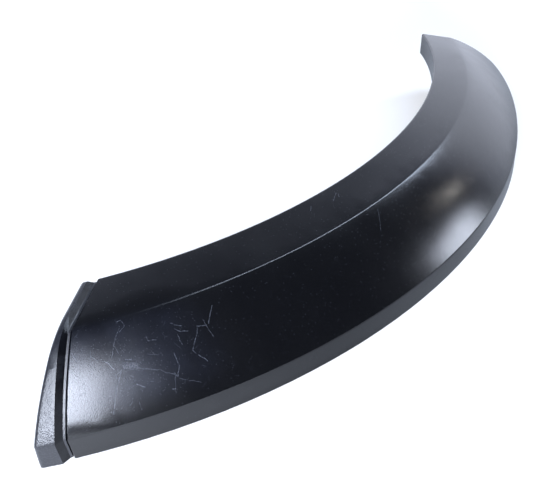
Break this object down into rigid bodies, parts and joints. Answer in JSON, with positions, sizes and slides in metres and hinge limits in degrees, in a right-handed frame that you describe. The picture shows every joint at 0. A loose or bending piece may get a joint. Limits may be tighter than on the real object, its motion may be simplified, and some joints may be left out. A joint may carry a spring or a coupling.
{
  "type": "wheel arch trim",
  "caption": "Curved gloss black wheel arch trim with a creased, sloping skin, a grained end piece at one end, and push-in clips on its hollow back",
  "frame": {"origin": "Middle of the footprint, on the plane of the outer wall's foot", "axes": "+X along the chord from the grained end to the far end, -Y towards the crown of the arch, +Z away from the car body"},
  "size_m": [0.6842, 0.1971, 0.0733],
  "materials": {
    "gloss_skin": "gloss black, lightly scratched",
    "grained_end": "fine grained, satin black",
    "clip_nylon": "natural nylon, satin",
    "screw_steel": "zinc plated",
    "seal_foam": "closed-cell foam, dull black"
  },
  "bodies": {
    "root": {"arch_panel": "gloss_skin", "end_piece": "grained_end", "trim_clips": "clip_nylon", "end_piece_screws": "screw_steel", "edge_seal": "seal_foam"}
  },
  "joints": []
}
